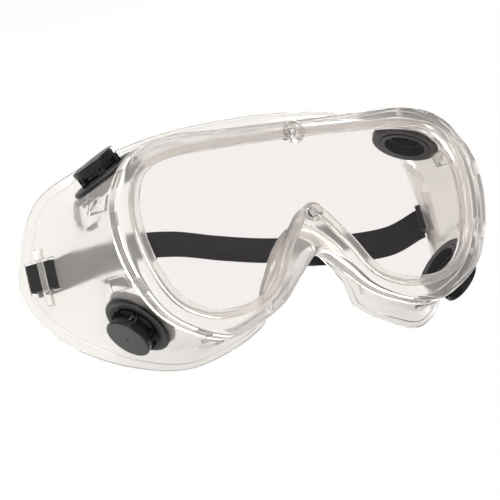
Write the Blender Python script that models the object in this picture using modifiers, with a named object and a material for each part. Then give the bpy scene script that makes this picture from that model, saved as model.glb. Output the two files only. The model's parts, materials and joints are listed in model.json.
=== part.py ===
"""Splash goggles: a soft clear mask body, a flat clear lens, four capped vents and an elastic strap.

The lens stands upright in the XZ plane and looks along -Y. Left and right are the wearer's own
mirror image: "left" names are at -X. The mask rests on z = 0 with the middle of its box over x = y = 0.
"""

import math

import bmesh
import bpy
from mathutils import Matrix, Vector
from mathutils.geometry import interpolate_bezier

MM = 0.001
GAP = 0.3 * MM  # clearance between pieces that touch

# The middle of the lens opening's widest line, above the surface the mask rests on.
LENS_HEIGHT = 53.46 * MM
LENS_BACK = -30.73 * MM  # the lens's middle plane, along Y

# Lens opening in the front lip of the rim.
OPENING_HALF_WIDTH = 67.4 * MM
OPENING_TOP = 18.3 * MM
OPENING_DROP = 38.0 * MM
LENS_THICKNESS = 2.1 * MM
GROOVE_DEPTH = 3.2 * MM

# Rim round the lens: how far it reaches past the opening, and its two lips.
RIM_SIDE = 9.2 * MM
RIM_TOP = 6.3 * MM
RIM_BOTTOM = 9.5 * MM
RIM_DEPTH = 5.0 * MM  # from the lens's middle plane to the rim's back
LIP_THICKNESS = 1.5 * MM
RIM_CHAMFER = 1.2 * MM
RIM_STEP = 1.2 * MM  # the rim stands this far out from the wall behind it

# Wall and face flange.
WALL = 1.8 * MM
FLARE_SIDE = 13.4 * MM
FLARE_TOP = 8.0 * MM
FLARE_BOTTOM = 5.7 * MM
FLANGE = 1.6 * MM
TAB_HEIGHT = 1.0 * MM
TAB_START = 1.0 * MM  # behind the rim

# Vents.
VENT_RADIUS = 12.5 * MM
# From the lens to the flange's edge at the temples: as deep as the vents need, with the flare behind.
FACE_DEPTH = 4.224 * VENT_RADIUS
VENT_HOLE_RADIUS = 9.7 * MM
VENT_BORE_RADIUS = 7.6 * MM
VENT_FLANGE = 1.5 * MM
VENT_CLEARANCE = 0.4 * MM
VENT_RECESS = 0.9 * MM
VENT_RIM = 1.9 * MM  # flat rim round the recess
CAP_RADIUS = 8.5 * MM
CAP_HEIGHT = 5.8 * MM
CAP_TOP = 1.4 * MM
CAP_DRUM = 3.4 * MM  # height of the plain side above the waist
CAP_TAPER = 0.3 * MM
CAP_DIMPLE = 0.4 * MM
CAP_WAIST = 1.1 * MM  # how far the cap's waist is inside its edge
CAP_CLIP = 0.35 * MM  # the clips stand this far out from the cap's side
CLIP_SPACE = 1.2 * MM  # between the two ribs of a clip
CLIP_RIB = 0.6 * MM
CAP_FOOT = 0.8 * MM
CAP_PLUG = 1.6 * MM
CAP_WALL = 1.2 * MM
CAP_WINDOWS = 6
WINDOW_WIDTH = 3.6 * MM
SEAT_EDGE = 0.5 * MM  # flat seat past the vent's flange
SEAT_SKIN = 0.2 * MM  # the seat stands this far proud of the wall pressed flat under it
PAD_MARGIN = 1.6 * MM
PAD_BLEND = 6.0 * MM
UPPER_VENT_SINK = 1.0 * MM
LOWER_VENT_SINK = 1.6 * MM
UPPER_VENT_GAP = 3.5 * MM  # from the rim's back to the vent's flange
LOWER_VENT_GAP = 1.7 * MM
UPPER_VENT_LEAN = math.radians(29)  # from straight up, towards the side
LOWER_VENT_LEAN = math.radians(131)

# Studs on the middle line of the rim.
BROW_STUD_RADIUS = 4.2 * MM
NOSE_STUD_RADIUS = 3.6 * MM
STUD_HEAD = 1.5 * MM
STUD_SHANK_RADIUS = 1.5 * MM

# Strap and lugs.
STRAP_WIDTH = 9.6 * MM
STRAP_THICKNESS = 1.1 * MM
STRAP_CLEARANCE = 0.35 * MM
LUG_DROP = 9.2 * MM  # below the lens's middle
LUG_UPPER_ARM = 3.4 * MM
LUG_LOWER_ARM = 5.2 * MM
LUG_BAR = 2.0 * MM
LUG_BAR_START = 4.9 * MM
INNER_SLOT_START = 1.4 * MM
OUTER_SLOT_START = 10.2 * MM
SLOT_WIDTH = 2.5 * MM
LOOP_BULGE = 0.3 * MM
STRAP_PIVOT = 3.4 * MM  # the strap's pivot line, behind the lugs
TAIL_LENGTH = 60.0 * MM
TAIL_DROP = 1.8 * MM

# Half outlines seen from the front, from the brow's middle round one side to the nose's middle.
# Each point is (share of the half width, share of the top height or of the drop).
OPENING_SHAPE = (
    (0, 1), (0.40, 0.985), (0.73, 0.915), (0.911, 0.69), (0.99, 0.185), (1, -0.216), (0.958, -0.56),
    (0.875, -0.822), (0.746, -0.962), (0.617, -1), (0.473, -0.967), (0.324, -0.82), (0.194, -0.489),
    (0, -0.155),
)
RIM_SHAPE = (
    (0, 1), (0.38, 1), (0.68, 0.99), (0.865, 0.76), (0.98, 0.24), (1, -0.17), (0.962, -0.47),
    (0.875, -0.735), (0.745, -0.9), (0.58, -1), (0.42, -0.955), (0.255, -0.83), (0.127, -0.645),
    (0, -0.5),
)
FACE_SHAPE = (
    (0, 1), (0.333, 0.972), (0.556, 0.898), (0.744, 0.76), (0.906, 0.477), (1, -0.15), (0.978, -0.423),
    (0.894, -0.677), (0.756, -0.88), (0.578, -1), (0.411, -0.968), (0.222, -0.823), (0.167, -0.6),
    (0, -0.3),
)
# Face flange at the same points: the share of the face depth that its edge is behind the lens, then
# its width in millimetres, then the share of the face depth that its root is in front of its edge.
FLANGE_SHAPE = (
    (0.34, 3.5, 0.04), (0.4, 3.5, 0.04), (0.54, 4, 0.05), (0.72, 6.5, 0.075), (0.89, 10.5, 0.18),
    (1, 11.5, 0.21), (0.975, 10.5, 0.19), (0.83, 8, 0.13), (0.635, 6, 0.085), (0.455, 5, 0.05),
    (0.34, 5, 0.04), (0.275, 4, 0.04), (0.255, 3.6, 0.04), (0.255, 3.6, 0.04),
)
STEPS = 3  # pieces between two outline points
UPPER_VENT_POINT = 3
LOWER_VENT_POINT = 7.33
LUG_POINT = 5
# Grip tabs on the wall: outline point, length along the wall and half width in millimetres.
GRIP_TABS = ((4, 13, 2.8), (6, 10, 2.6), (9, 4, 4))
WALL_RINGS = 6
ROUND_STEPS = 24  # sides of a round piece

SIDES = (("left", -1), ("right", 1))


# --- Small helpers ---------------------------------------------------------------------------------


def clear_scene():
    for obj in list(bpy.data.objects):
        bpy.data.objects.remove(obj)
    for collection in list(bpy.data.collections):
        bpy.data.collections.remove(collection)


def new_collection(name):
    collection = bpy.data.collections.new(name)
    bpy.context.scene.collection.children.link(collection)
    return collection


def material(name, colour, roughness, metallic=0.0, transmission=0.0):
    made = bpy.data.materials.new(name)
    made.use_nodes = True
    shader = made.node_tree.nodes["Principled BSDF"]
    shader.inputs["Base Color"].default_value = (*colour, 1)
    shader.inputs["Roughness"].default_value = roughness
    shader.inputs["Metallic"].default_value = metallic
    shader.inputs["Transmission Weight"].default_value = transmission
    return made


def new_object(name, mesh, collection, finish=None, parent=None, matrix=None):
    obj = bpy.data.objects.new(name, mesh)
    collection.objects.link(obj)
    if finish:
        mesh.materials.append(finish)
    obj.parent = parent
    if matrix:
        obj.matrix_local = matrix
    return obj


def mesh_of(bm, name):
    bmesh.ops.recalc_face_normals(bm, faces=bm.faces)
    mesh = bpy.data.meshes.new(name)
    bm.to_mesh(mesh)
    bm.free()
    return mesh


def smooth(mesh, degrees=35):
    mesh.shade_smooth()
    mesh.set_sharp_from_angle(angle=math.radians(degrees))


def helper(name, mesh, collection, matrix):
    """A shape that is only added to or cut from another one."""
    obj = new_object(name, mesh, collection, parent=mask, matrix=matrix)
    obj.hide_render = True
    obj.display_type = "WIRE"
    return obj


def boolean(target, other, operation):
    """Joins or cuts the target with one object, or with all those of a collection at once."""
    modifier = target.modifiers.new(other.name, "BOOLEAN")
    if isinstance(other, bpy.types.Collection):
        modifier.operand_type = "COLLECTION"
        modifier.collection = other
    else:
        modifier.object = other
    modifier.operation = operation
    modifier.solver = "EXACT"


def box_mesh(name, low, high):
    """A box between two corners."""
    bm = bmesh.new()
    bmesh.ops.create_cube(bm, size=1)
    low, high = Vector(low), Vector(high)
    bmesh.ops.scale(bm, vec=high - low, verts=bm.verts)
    bmesh.ops.translate(bm, vec=(low + high) / 2, verts=bm.verts)
    return mesh_of(bm, name)


def cylinder_mesh(name, radius, low, high, segments=ROUND_STEPS):
    """A cylinder along Z between two heights."""
    bm = bmesh.new()
    bmesh.ops.create_cone(bm, cap_ends=True, segments=segments, radius1=radius, radius2=radius, depth=high - low)
    bmesh.ops.translate(bm, vec=(0, 0, (low + high) / 2), verts=bm.verts)
    return mesh_of(bm, name)


def turned(name, profile, collection, finish, parent, matrix, steps=ROUND_STEPS):
    """A ring or disc turned from a closed or axis-to-axis profile of (radius, height) points."""
    mesh = bpy.data.meshes.new(name)
    closed = profile[0][0] > 0
    edges = [(i, i + 1) for i in range(len(profile) - 1)]
    if closed:
        edges.append((len(profile) - 1, 0))
    mesh.from_pydata([(radius, 0, height) for radius, height in profile], edges, [])
    obj = new_object(name, mesh, collection, finish, parent, matrix)
    screw = obj.modifiers.new("turn", "SCREW")
    screw.steps = steps
    screw.render_steps = steps
    screw.use_merge_vertices = True
    screw.merge_threshold = 0.00001
    return obj


# --- Outlines --------------------------------------------------------------------------------------


def smooth_loop(points):
    """A closed smooth curve through the points, with STEPS pieces between each two."""
    count = len(points)
    curve = []
    for i in range(count):
        before, start, end, after = (points[(i + k) % count] for k in (-1, 0, 1, 2))
        first_handle = start + (end - before) / 6
        second_handle = end - (after - start) / 6
        curve += interpolate_bezier(start, first_handle, second_handle, end, STEPS + 1)[:-1]
    return curve


def whole(half):
    """The closed list of a half list, mirrored over the middle line. Both ends are on that line."""
    mirrored = [Vector((-point.x, point.y, point.z)) for point in half[-2:0:-1]]
    return half + mirrored


def outline(shape, half_width, top, drop):
    """A closed front outline in the XZ plane."""
    half = [Vector((across * half_width, 0, up * (top if up > 0 else drop))) for across, up in shape]
    return smooth_loop(whole(half))


def spread(values):
    """One value for each outline point, from one value for each point of the half shape."""
    points = [Vector((0, 0, value)) for value in values]
    return [point.z for point in smooth_loop(whole(points))]


def outward(points):
    """The unit directions that point out of a closed outline, in the XZ plane."""
    normals = []
    for i, _ in enumerate(points):
        along = points[(i + 1) % len(points)] - points[i - 1]
        normals.append(Vector((-along.z, 0, along.x)).normalized())
    return normals


def grown(points, distance, back):
    """The outline moved out by the distance and placed at the depth."""
    moved = []
    for point, normal in zip(points, outward(points)):
        moved.append(Vector((point.x, back, point.z)) + normal * distance)
    return moved


def at_control(point):
    """The outline index of a point of the half shape."""
    return round(point * STEPS)


OPENING = outline(OPENING_SHAPE, OPENING_HALF_WIDTH, OPENING_TOP, OPENING_DROP)
RIM_HALF_WIDTH = OPENING_HALF_WIDTH + RIM_SIDE
RIM = outline(RIM_SHAPE, RIM_HALF_WIDTH, OPENING_TOP + RIM_TOP, OPENING_DROP + RIM_BOTTOM)
FACE_HALF_WIDTH = RIM_HALF_WIDTH + FLARE_SIDE
FACE = outline(
    FACE_SHAPE,
    FACE_HALF_WIDTH,
    OPENING_TOP + RIM_TOP + FLARE_TOP,
    OPENING_DROP + RIM_BOTTOM + FLARE_BOTTOM,
)


def face_rings():
    """The flange's edge, and its root in front of the edge, where the wall meets it."""
    depth, width, root_forward = (spread(column) for column in zip(*FLANGE_SHAPE))
    edge, root = [], []
    for i, (point, normal) in enumerate(zip(FACE, outward(FACE))):
        edge.append(point + Vector((0, depth[i] * FACE_DEPTH, 0)))
        root.append(edge[i] - normal * width[i] * MM - Vector((0, root_forward[i] * FACE_DEPTH, 0)))
    return edge, root


EDGE, ROOT = face_rings()
WALL_START = grown(RIM, -RIM_STEP, RIM_DEPTH + RIM_STEP / 2)


def wall_point(index, share):
    return WALL_START[index].lerp(ROOT[index], share)


def square_to(direction, toward):
    """The part of a direction that is square to another one, as a unit direction."""
    return (direction - toward * direction.dot(toward)).normalized()


def back_rings():
    """The flange's back edge, and the corner behind its root where the inner wall begins."""
    edge, corner = [], []
    for start, root, rim, normal in zip(WALL_START, ROOT, EDGE, outward(FACE)):
        wall, flange = (root - start).normalized(), (rim - root).normalized()
        inward, back = square_to(-normal, wall), square_to(Vector((0, 1, 0)), flange)
        edge.append(rim + back * FLANGE)
        corner.append(root + (inward * WALL + back * FLANGE) / (1 + inward.dot(back)))
    return edge, corner


EDGE_BACK, CORNER = back_rings()


# --- Vent places -----------------------------------------------------------------------------------


def vent_place(level, side):
    """The matrix of a vent: its origin on the wall's outer face, its Z axis pointing out."""
    point, gap, lean, sink = {
        "upper": (UPPER_VENT_POINT, UPPER_VENT_GAP, UPPER_VENT_LEAN, UPPER_VENT_SINK),
        "lower": (LOWER_VENT_POINT, LOWER_VENT_GAP, LOWER_VENT_LEAN, LOWER_VENT_SINK),
    }[level]
    back = RIM_DEPTH + gap + VENT_RADIUS
    index = at_control(point)
    start, root = WALL_START[index], ROOT[index]
    centre = start.lerp(root, (back - start.y) / (root.y - start.y))
    axis = Vector((math.sin(lean), 0, math.cos(lean)))
    centre -= axis * sink
    centre.x *= side
    turn = Matrix.Rotation(lean * side, 4, "Y")
    return Matrix.Translation(centre) @ turn


VENTS = [(level, name, vent_place(level, side)) for level in ("upper", "lower") for name, side in SIDES]


def with_pads(point, depth):
    """The wall point, pressed onto the flat pad of any vent near it. Depth is the face's own depth."""
    for _, _, place in VENTS:
        local = place.inverted() @ point
        reach = math.hypot(local.x, local.y)
        flat = VENT_RADIUS + PAD_MARGIN
        share = 1 - min(max((reach - flat) / PAD_BLEND, 0), 1)
        share = share * share * (3 - 2 * share)
        if abs(local.z) > VENT_RADIUS:
            continue
        local.z += (-depth - local.z) * share
        point = place @ local
    return point


# --- Mask body -------------------------------------------------------------------------------------


def body_rings():
    """The closed rings that make the body's skin, from the lens opening out, back and in again."""
    front = -LENS_THICKNESS / 2 - GAP - LIP_THICKNESS
    groove = LENS_THICKNESS / 2 + GAP
    shares = [k / WALL_RINGS for k in range(1, WALL_RINGS)]
    count = range(len(RIM))
    inner_start = grown(RIM, -RIM_STEP - WALL, RIM_DEPTH + RIM_STEP / 2)
    rings = [
        grown(OPENING, 0, front),
        grown(RIM, -RIM_CHAMFER, front),
        grown(RIM, 0, front + RIM_CHAMFER),
        grown(RIM, 0, RIM_DEPTH - RIM_STEP / 2),
        WALL_START,
    ]
    rings += [[with_pads(wall_point(i, share), SEAT_SKIN) for i in count] for share in shares]
    rings += [ROOT, EDGE, EDGE_BACK, CORNER]
    for share in reversed(shares):
        rings.append([with_pads(inner_start[i].lerp(CORNER[i], share), WALL - SEAT_SKIN) for i in count])
    rings += [
        inner_start,
        grown(OPENING, WALL / 3, RIM_DEPTH - RIM_STEP / 2),
        grown(OPENING, WALL / 3, groove),
        grown(OPENING, GROOVE_DEPTH, groove),
        grown(OPENING, GROOVE_DEPTH, -groove),
        grown(OPENING, 0, -groove),
    ]
    return rings


def lofted_mesh(name, rings):
    """A closed skin over rings that follow each other and end where they began."""
    across, around = len(rings), len(rings[0])
    bm = bmesh.new()
    bmesh.ops.create_grid(bm, x_segments=across, y_segments=around, size=1)
    for vert in bm.verts:
        ring = round((vert.co.x + 1) / 2 * across) % across
        place = round((vert.co.y + 1) / 2 * around) % around
        vert.co = rings[ring][place]
    bmesh.ops.remove_doubles(bm, verts=bm.verts, dist=0.00001)
    return mesh_of(bm, name)


def lug_place(side):
    """The matrix of a lug: its origin at the flange's root, X out along the flange, Y to the back, Z up."""
    index = at_control(LUG_POINT)
    root, edge = ROOT[index], EDGE[index]
    along = Vector((edge.x - root.x, edge.y - root.y, 0)).normalized()
    back = Vector((-along.y, along.x, 0))
    turn = Matrix((along, back, Vector((0, 0, 1)))).transposed().to_4x4()
    middle = root + back * FLANGE / 2
    place = Matrix.Translation((middle.x, middle.y, -LUG_DROP)) @ turn
    return place if side > 0 else Matrix.Scale(-1, 4, (1, 0, 0)) @ place


def lip_length():
    index = at_control(LUG_POINT)
    return math.hypot(EDGE[index].x - ROOT[index].x, EDGE[index].y - ROOT[index].y)


STRAP_INNER = FLANGE / 2 + STRAP_CLEARANCE  # flange middle to the strap's near face
STRAP_OUTER = STRAP_INNER + STRAP_THICKNESS
SLOT_HALF_HEIGHT = STRAP_WIDTH / 2 + 1.0 * MM
LUG_FRONT = STRAP_OUTER + STRAP_CLEARANCE + LUG_BAR


def mirrored_mesh(mesh, side):
    """The mesh for the right side, or its mirror image for the left."""
    if side > 0:
        return mesh
    bm = bmesh.new()
    bm.from_mesh(mesh)
    bmesh.ops.scale(bm, vec=(-1, 1, 1), verts=bm.verts)
    bmesh.ops.reverse_faces(bm, faces=bm.faces)
    bm.to_mesh(mesh)
    bm.free()
    return mesh


def placed_box(name, low, high, side):
    """A box in the lug's own frame, as a mesh in the mask's frame."""
    mesh = box_mesh(name, low, high)
    mesh.transform(lug_place(1))
    return mirrored_mesh(mesh, side)


def bridge_mesh(name, side):
    """The lug's two arms and the bar between them: one bent strip in front of the flange."""
    gap = SLOT_HALF_HEIGHT
    top, bottom = gap + LUG_UPPER_ARM, -gap - LUG_LOWER_ARM
    bar_back = LUG_BAR * 0.8 - LUG_FRONT
    section = (
        (0, bottom), (-LUG_FRONT, bottom), (-LUG_FRONT, top), (0, top),
        (0, gap), (bar_back, gap), (bar_back, -gap), (0, -gap),
    )
    bm = bmesh.new()
    face = bm.faces.new([bm.verts.new((LUG_BAR_START, y, z)) for y, z in section])
    made = bmesh.ops.extrude_face_region(bm, geom=[face])["geom"]
    end = [item for item in made if isinstance(item, bmesh.types.BMVert)]
    bmesh.ops.translate(bm, vec=(LUG_BAR, 0, 0), verts=end)
    mesh = mesh_of(bm, name)
    mesh.transform(lug_place(1))
    return mirrored_mesh(mesh, side)


def add_lug(name, side):
    """A bridge in front of the flange, and the two slots that the strap goes through."""
    helper(f"lug_bridge_{name}", bridge_mesh(f"lug_bridge_{name}", side), body_additions, Matrix())
    for level, begin in (("inner", INNER_SLOT_START), ("outer", OUTER_SLOT_START)):
        slot = placed_box(
            f"lug_slot_{level}_{name}",
            (begin, -2 * FLANGE, -SLOT_HALF_HEIGHT),
            (begin + SLOT_WIDTH, 2 * FLANGE, SLOT_HALF_HEIGHT),
            side,
        )
        helper(slot.name, slot, body_cuts, Matrix())


def stud_height(name):
    """The height of a stud's centre: on the rim's front, just outside the opening's edge."""
    if name == "brow":
        return OPENING_TOP + STUD_SHANK_RADIUS
    return OPENING_DROP * OPENING_SHAPE[-1][1] - NOSE_STUD_RADIUS


def add_vent_seat(name, place):
    """A flat seat in the wall for one vent, faced on both sides, and the hole through it."""
    seat_radius = VENT_RADIUS + SEAT_EDGE
    reach = 4 * MM
    clear = GAP / 5
    disc = cylinder_mesh(f"vent_seat_{name}", seat_radius + SEAT_EDGE, -WALL, 0)
    helper(disc.name, disc, body_additions, place)
    cap_room = GAP + VENT_FLANGE + CAP_HEIGHT + GAP
    facing = cylinder_mesh(f"vent_facing_{name}", seat_radius, clear, cap_room)
    helper(facing.name, facing, body_cuts, place)
    backing = cylinder_mesh(f"vent_backing_{name}", seat_radius, -WALL - reach, -WALL - clear)
    helper(backing.name, backing, body_cuts, place)
    hole = cylinder_mesh(f"vent_hole_{name}", VENT_HOLE_RADIUS, -WALL - reach, reach)
    helper(hole.name, hole, body_cuts, place)


def make_body():
    mesh = lofted_mesh("mask_body", body_rings())
    smooth(mesh)
    body = new_object("mask_body", mesh, goggles, soft_clear, mask)
    for name, side in SIDES:
        add_lug(name, side)
    for level, name, place in VENTS:
        add_vent_seat(f"{level}_{name}", place)
    helper("grip_tabs", grip_tabs(), body_additions, Matrix())
    for name in ("brow", "nose"):
        helper(f"stud_hole_{name}", stud_hole(name), body_cuts, stud_place(name))
    boolean(body, body_additions, "UNION")
    boolean(body, body_cuts, "DIFFERENCE")
    return body


def grip_tabs():
    """Low raised tabs moulded on the wall behind the rim: two at each side and one under each eye."""
    bm = bmesh.new()
    for point, length, half_width in GRIP_TABS:
        index = at_control(point)
        normal = outward(RIM)[index]
        along = (ROOT[index] - WALL_START[index]).normalized()
        up = along.cross(normal).normalized()
        out = up.cross(along)
        turn = Matrix((out, along, up)).transposed().to_4x4()
        for _, side in SIDES:
            low = (-WALL / 2, TAB_START, -half_width * MM)
            mesh = box_mesh("tab", low, (TAB_HEIGHT, TAB_START + length * MM, half_width * MM))
            mesh.transform(Matrix.Translation(WALL_START[index]) @ turn)
            bm.from_mesh(mirrored_mesh(mesh, side))
            bpy.data.meshes.remove(mesh)
    return mesh_of(bm, "grip_tabs")


def stud_place(name):
    """The matrix of a stud: its Z axis points out of the front."""
    return Matrix.Translation((0, 0, stud_height(name))) @ Matrix.Rotation(math.radians(90), 4, "X")


def stud_hole(name):
    front = LENS_THICKNESS / 2 + GAP + LIP_THICKNESS
    return cylinder_mesh(f"stud_hole_{name}", STUD_SHANK_RADIUS + GAP, -RIM_DEPTH, front * 2, 16)


# --- Lens and studs --------------------------------------------------------------------------------


def make_lens():
    """A flat plate, cut to the groove with a clearance all round."""
    curve = bpy.data.curves.new("lens", "CURVE")
    curve.dimensions = "2D"
    curve.fill_mode = "BOTH"
    curve.extrude = LENS_THICKNESS / 2
    rim = grown(OPENING, GROOVE_DEPTH - GAP, 0)
    spline = curve.splines.new("POLY")
    spline.points.add(len(rim) - 1)
    for point, place in zip(spline.points, rim):
        point.co = (place.x, place.z, 0, 1)
    spline.use_cyclic_u = True
    drawn = bpy.data.objects.new("lens_outline", curve)
    goggles.objects.link(drawn)
    bpy.context.view_layer.update()
    mesh = bpy.data.meshes.new_from_object(drawn.evaluated_get(bpy.context.evaluated_depsgraph_get()))
    bpy.data.objects.remove(drawn)
    bm = bmesh.new()
    bm.from_mesh(mesh)
    bmesh.ops.remove_doubles(bm, verts=bm.verts, dist=0.00001)
    bmesh.ops.recalc_face_normals(bm, faces=bm.faces)
    bm.to_mesh(mesh)
    bm.free()
    lens = new_object("lens", mesh, goggles, hard_clear, mask, Matrix.Rotation(math.radians(90), 4, "X"))
    for name in ("brow", "nose"):
        boolean(lens, bpy.data.objects[f"stud_hole_{name}"], "DIFFERENCE")
    return lens


def make_stud(name, radius):
    """A domed button whose shank goes through the rim's lips and the lens's edge."""
    face = LENS_THICKNESS / 2 + GAP + LIP_THICKNESS + GAP
    profile = [
        (0, face + STUD_HEAD * 0.8),
        (radius * 0.36, face + STUD_HEAD * 0.8),
        (radius * 0.44, face + STUD_HEAD),
        (radius * 0.8, face + STUD_HEAD * 0.9),
        (radius, face + STUD_HEAD * 0.45),
        (radius, face),
        (STUD_SHANK_RADIUS, face),
        (STUD_SHANK_RADIUS, -RIM_DEPTH * 0.7),
        (0, -RIM_DEPTH * 0.7),
    ]
    return turned(f"{name}_stud", profile, goggles, hard_clear, mask, stud_place(name), 24)


# --- Vents -----------------------------------------------------------------------------------------


def make_vent(level, name, place):
    """A flanged tube through the wall, a ring that holds it from inside, and a pull-off cap."""
    tube = VENT_HOLE_RADIUS - VENT_CLEARANCE
    bottom = -WALL - GAP - VENT_FLANGE - GAP
    top = GAP + VENT_FLANGE
    turned(
        f"vent_body_{level}_{name}",
        [
            (VENT_RADIUS, top - VENT_FLANGE * 0.4),
            (VENT_RADIUS, GAP),
            (tube, GAP),
            (tube, bottom),
            (VENT_BORE_RADIUS, bottom),
            (VENT_BORE_RADIUS, top - VENT_RECESS),
            (CAP_RADIUS + CAP_CLIP * 2, top - VENT_RECESS),
            (VENT_RADIUS - VENT_RIM, top),
        ],
        goggles,
        black_plastic,
        mask,
        place,
    )
    ring_top = -WALL - GAP
    turned(
        f"vent_ring_{level}_{name}",
        [
            (VENT_RADIUS, ring_top),
            (VENT_RADIUS, ring_top - VENT_FLANGE * 0.6),
            (VENT_RADIUS - VENT_FLANGE * 0.4, ring_top - VENT_FLANGE),
            (tube + GAP, ring_top - VENT_FLANGE),
            (tube + GAP, ring_top),
        ],
        goggles,
        black_plastic,
        mask,
        place,
    )
    make_cap(level, name, place)


def make_cap(level, name, place):
    """A spool with a closed top. Air goes in through the windows in its waist, never straight."""
    seat = GAP + VENT_FLANGE - VENT_RECESS + GAP
    waist = CAP_RADIUS - CAP_WAIST
    top = GAP + VENT_FLANGE + CAP_HEIGHT
    plug = VENT_BORE_RADIUS - GAP
    bore = plug - CAP_WALL
    ceiling = top - CAP_TOP
    shoulder = top - CAP_DRUM
    cap = turned(
        f"vent_cap_{level}_{name}",
        [
            (0, top - CAP_DIMPLE),
            (CAP_DIMPLE * 2, top),
            (CAP_RADIUS - CAP_DIMPLE, top),
            (CAP_RADIUS, top - CAP_DIMPLE),
            (CAP_RADIUS - CAP_TAPER, shoulder),
            (waist, shoulder),
            (waist, seat + CAP_FOOT),
            (CAP_RADIUS, seat + CAP_FOOT),
            (CAP_RADIUS, seat),
            (plug, seat),
            (plug, seat - CAP_PLUG),
            (bore, seat - CAP_PLUG),
            (bore, ceiling),
            (0, ceiling),
        ],
        goggles,
        black_plastic,
        mask,
        place,
    )
    clips = cap_clips(f"cap_clips_{level}_{name}", seat, shoulder)
    boolean(cap, helper(clips.name, clips, cutters, place), "UNION")
    windows = cap_windows(f"cap_windows_{level}_{name}", seat + CAP_FOOT, shoulder)
    boolean(cap, helper(windows.name, windows, cutters, place), "DIFFERENCE")


def turned_boxes(name, low, high, count, start=0.0):
    """Copies of one box, spread round the Z axis. Start is the first one's place, in steps."""
    bm = bmesh.new()
    for k in range(count):
        mesh = box_mesh(name, low, high)
        mesh.transform(Matrix.Rotation(math.tau * (k + start) / count, 4, "Z"))
        bm.from_mesh(mesh)
        bpy.data.meshes.remove(mesh)
    return mesh_of(bm, name)


def cap_clips(name, seat, shoulder):
    """Six clips that stand across the waist, each a pair of ribs."""
    bm = bmesh.new()
    for sign in (-1, 1):
        sides = sorted((sign * CLIP_SPACE / 2, sign * (CLIP_SPACE / 2 + CLIP_RIB)))
        low = (CAP_RADIUS - CAP_WAIST * 1.5, sides[0], seat + CAP_FOOT * 0.5)
        high = (CAP_RADIUS + CAP_CLIP, sides[1], shoulder + CAP_FOOT)
        mesh = turned_boxes(name, low, high, CAP_WINDOWS)
        bm.from_mesh(mesh)
        bpy.data.meshes.remove(mesh)
    return mesh_of(bm, name)


def cap_windows(name, low, high):
    """The air's way in: one low window between each two clips."""
    margin = (high - low) * 0.12
    corner_low = (CAP_RADIUS * 0.5, -WINDOW_WIDTH / 2, low + margin)
    corner_high = (CAP_RADIUS * 1.2, WINDOW_WIDTH / 2, high - margin)
    return turned_boxes(name, corner_low, corner_high, CAP_WINDOWS, 0.5)


# --- Strap -----------------------------------------------------------------------------------------


def ribbon_mesh(name, path):
    """An upright ribbon, as wide as the strap, along a level or wavy path."""
    bm = bmesh.new()
    verts = [bm.verts.new(point - Vector((0, 0, STRAP_WIDTH / 2))) for point in path]
    edges = [bm.edges.new(pair) for pair in zip(verts, verts[1:])]
    made = bmesh.ops.extrude_edge_only(bm, edges=edges)["geom"]
    top = [item for item in made if isinstance(item, bmesh.types.BMVert)]
    bmesh.ops.translate(bm, vec=(0, 0, STRAP_WIDTH), verts=top)
    mesh = bpy.data.meshes.new(name)
    bm.to_mesh(mesh)
    bm.free()
    return mesh


def ribbon(name, path, finish, matrix=None):
    obj = new_object(name, ribbon_mesh(name, path), goggles, finish, mask, matrix)
    shell = obj.modifiers.new("webbing", "SOLIDIFY")
    shell.thickness = STRAP_THICKNESS
    shell.offset = 0
    return obj


def open_curve(points, steps):
    """A smooth open curve through the points."""
    ends = [points[0] * 2 - points[1]] + list(points) + [points[-1] * 2 - points[-2]]
    curve = []
    for before, start, end, after in zip(ends, ends[1:], ends[2:], ends[3:]):
        first_handle = start + (end - before) / 6
        second_handle = end - (after - start) / 6
        curve += interpolate_bezier(start, first_handle, second_handle, end, steps + 1)[:-1]
    return curve + [points[-1]]


def loop_path():
    """Once round through both slots, in the lug's own frame."""
    reach = (STRAP_INNER + STRAP_OUTER) / 2
    path = []
    for middle, first in ((OUTER_SLOT_START + SLOT_WIDTH / 2, -90), (INNER_SLOT_START + SLOT_WIDTH / 2, 90)):
        for k in range(7):
            angle = math.radians(first + 30 * k)
            bulge = math.cos(angle) * LOOP_BULGE
            path.append(Vector((middle + bulge, reach * math.sin(angle), 0)))
    return path


def make_loop(name, side):
    """The stretch of strap that wraps the flange at one lug: a closed band."""
    path = [lug_place(1) @ point for point in loop_path()]
    bm = bmesh.new()
    half = Vector((0, 0, STRAP_WIDTH / 2))
    verts = [bm.verts.new(point - half) for point in path]
    edges = [bm.edges.new((verts[i], verts[(i + 1) % len(verts)])) for i in range(len(verts))]
    made = bmesh.ops.extrude_edge_only(bm, edges=edges)["geom"]
    top = [item for item in made if isinstance(item, bmesh.types.BMVert)]
    bmesh.ops.translate(bm, vec=half * 2, verts=top)
    mesh = mirrored_mesh(mesh_of(bm, f"strap_loop_{name}"), side)
    obj = new_object(mesh.name, mesh, goggles, webbing, mask)
    shell = obj.modifiers.new("webbing", "SOLIDIFY")
    shell.thickness = STRAP_THICKNESS
    shell.offset = 0
    return obj


def pivot_line():
    """A point on the line that the strap swings about, in the mask's frame."""
    lug = lug_place(1)
    behind = lug @ Vector((lip_length() / 2, STRAP_OUTER, 0))
    return Vector((0, behind.y + STRAP_PIVOT, -LUG_DROP))


# The strap's back stretch: (share of the half width, back from the pivot, up from it), millimetres.
STRAP_ROUTE = (
    (-0.92, 0.6, 0.2), (-0.8, 4.0, 2.0), (-0.62, 8.0, 5.6), (-0.41, 10.5, 8.2), (-0.2, 12.0, 7.4),
    (0, 12.6, 3.6), (0.2, 12.6, 0.2), (0.41, 12.0, -2.2), (0.62, 10.0, -4.0), (0.8, 5.6, -4.2),
    (0.92, 0.6, -0.8),
)


def strap_route():
    """The middle line of the strap's back stretch, from the left lug to the right one."""
    points = [Vector((share * FACE_HALF_WIDTH, back * MM, up * MM)) for share, back, up in STRAP_ROUTE]
    return open_curve(points, 5)


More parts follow.
